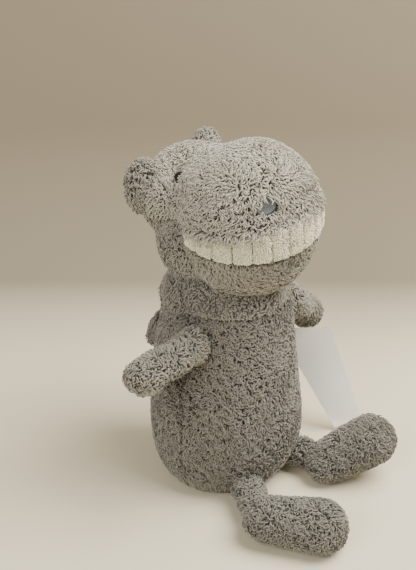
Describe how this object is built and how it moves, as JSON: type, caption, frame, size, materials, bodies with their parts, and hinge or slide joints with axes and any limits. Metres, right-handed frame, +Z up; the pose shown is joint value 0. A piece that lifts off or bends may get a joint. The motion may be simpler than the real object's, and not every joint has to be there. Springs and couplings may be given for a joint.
{
  "type": "sitting plush toy animal",
  "caption": "Sitting plush animal with a large muzzle and a band of padded teeth, floppy jointed arms, legs, feet and ears, a back fin and a weighted flat seat.",
  "frame": {"origin": "centre of the flat seat, on the surface that the toy sits on", "axes": "+Z up; face towards -Y; the toy's own right side at -X"},
  "size_m": [0.2339, 0.232, 0.2899],
  "materials": {
    "body_pile": "curly terry pile, matt",
    "head_pile": "curly terry pile, matt",
    "felt": "felt, matt",
    "tooth_velour": "short velour, matt",
    "nostril_cloth": "short velour, matt",
    "stuffing": "loose polyester fibre",
    "pouch_cloth": "plain weave",
    "beans": "small round pellets",
    "eye_plastic": "polished",
    "washer_plastic": "moulded",
    "label_satin": "satin ribbon, slight sheen"
  },
  "bodies": {
    "torso": {"torso_front_panel": "body_pile", "torso_back_left_panel": "body_pile", "torso_back_right_panel": "body_pile", "seat_panel": "body_pile", "dorsal_fin": "body_pile", "torso_stuffing": "stuffing", "bean_pouch": "pouch_cloth", "bean_filling": "beans"},
    "neck": {"neck_stuffing": "stuffing"},
    "head": {"crown_panel": "head_pile", "muzzle_panel": "head_pile", "jaw_panel": "head_pile", "gum_felt": "felt", "head_stuffing": "stuffing", "right_eye": "eye_plastic", "right_eye_washer": "washer_plastic", "right_nostril": "nostril_cloth", "right_tooth_1": "tooth_velour", "right_tooth_2": "tooth_velour", "right_tooth_3": "tooth_velour", "right_tooth_4": "tooth_velour", "right_tooth_5": "tooth_velour", "right_tooth_6": "tooth_velour", "right_tooth_7": "tooth_velour", "left_eye": "eye_plastic", "left_eye_washer": "washer_plastic", "left_nostril": "nostril_cloth", "left_tooth_1": "tooth_velour", "left_tooth_2": "tooth_velour", "left_tooth_3": "tooth_velour", "left_tooth_4": "tooth_velour", "left_tooth_5": "tooth_velour", "left_tooth_6": "tooth_velour", "left_tooth_7": "tooth_velour"},
    "label": {"care_label": "label_satin"},
    "right_ear": {"right_ear": "head_pile"},
    "right_arm": {"right_arm_front_panel": "body_pile", "right_arm_back_panel": "body_pile", "right_arm_stuffing": "stuffing"},
    "right_leg": {"right_leg_top_panel": "body_pile", "right_leg_under_panel": "body_pile", "right_leg_stuffing": "stuffing"},
    "right_foot": {"right_foot_upper": "body_pile", "right_foot_sole": "body_pile", "right_foot_stuffing": "stuffing"},
    "left_ear": {"left_ear": "head_pile"},
    "left_arm": {"left_arm_front_panel": "body_pile", "left_arm_back_panel": "body_pile", "left_arm_stuffing": "stuffing"},
    "left_leg": {"left_leg_top_panel": "body_pile", "left_leg_under_panel": "body_pile", "left_leg_stuffing": "stuffing"},
    "left_foot": {"left_foot_upper": "body_pile", "left_foot_sole": "body_pile", "left_foot_stuffing": "stuffing"}
  },
  "joints": [
    {"name": "head_turn", "type": "hinge", "parent": "torso", "child": "neck", "pos_m": [0, 0, 0.152], "axis": [0, 0, 1], "range_deg": [-25, 25], "stiffness_Nm_per_rad": 0.5},
    {"name": "head_nod", "type": "hinge", "parent": "neck", "child": "head", "pos_m": [0, 0, 0.152], "axis": [1, 0, 0], "range_deg": [-10, 10], "stiffness_Nm_per_rad": 2},
    {"name": "right_shoulder", "type": "hinge", "parent": "torso", "child": "right_arm", "pos_m": [-0.0588, -0.0189, 0.145], "axis": [0.13, 0.9915, 0], "range_deg": [-40, 60], "stiffness_Nm_per_rad": 0.06},
    {"name": "left_shoulder", "type": "hinge", "parent": "torso", "child": "left_arm", "pos_m": [0.0588, -0.0189, 0.141], "axis": [0.3718, -0.9283, 0], "range_deg": [-6, 95], "stiffness_Nm_per_rad": 0.06},
    {"name": "right_hip", "type": "hinge", "parent": "torso", "child": "right_leg", "pos_m": [-0.0309, -0.0578, 0.015], "axis": [-0.8492, 0.528, 0], "range_deg": [-10, 50], "stiffness_Nm_per_rad": 0.08},
    {"name": "left_hip", "type": "hinge", "parent": "torso", "child": "left_leg", "pos_m": [0.0382, -0.0532, 0.016], "axis": [-0.9922, -0.1247, 0], "range_deg": [-10, 45], "stiffness_Nm_per_rad": 0.08},
    {"name": "right_ankle", "type": "hinge", "parent": "right_leg", "child": "right_foot", "pos_m": [-0.0475, -0.0845, 0.014], "axis": [-0.8492, 0.528, 0], "range_deg": [-20, 20], "stiffness_Nm_per_rad": 0.08},
    {"name": "left_ankle", "type": "hinge", "parent": "left_leg", "child": "left_foot", "pos_m": [0.0405, -0.0715, 0.013], "axis": [-0.9922, -0.1247, 0], "range_deg": [-20, 12], "stiffness_Nm_per_rad": 0.08},
    {"name": "right_ear_fold", "type": "hinge", "parent": "head", "child": "right_ear", "pos_m": [-0.03159, 0.052, 0.24729], "axis": [-0.1219, 0, 0.9925], "range_deg": [-14, 14], "stiffness_Nm_per_rad": 0.01},
    {"name": "left_ear_fold", "type": "hinge", "parent": "head", "child": "left_ear", "pos_m": [0.02598, 0.052, 0.25436], "axis": [0.1219, 0, -0.9925], "range_deg": [-14, 14], "stiffness_Nm_per_rad": 0.01},
    {"name": "label_flap", "type": "hinge", "parent": "torso", "child": "label", "pos_m": [0.0594, -0.003, 0.09], "axis": [0, 0, 1], "range_deg": [-20, 12], "stiffness_Nm_per_rad": 0.004}
  ]
}
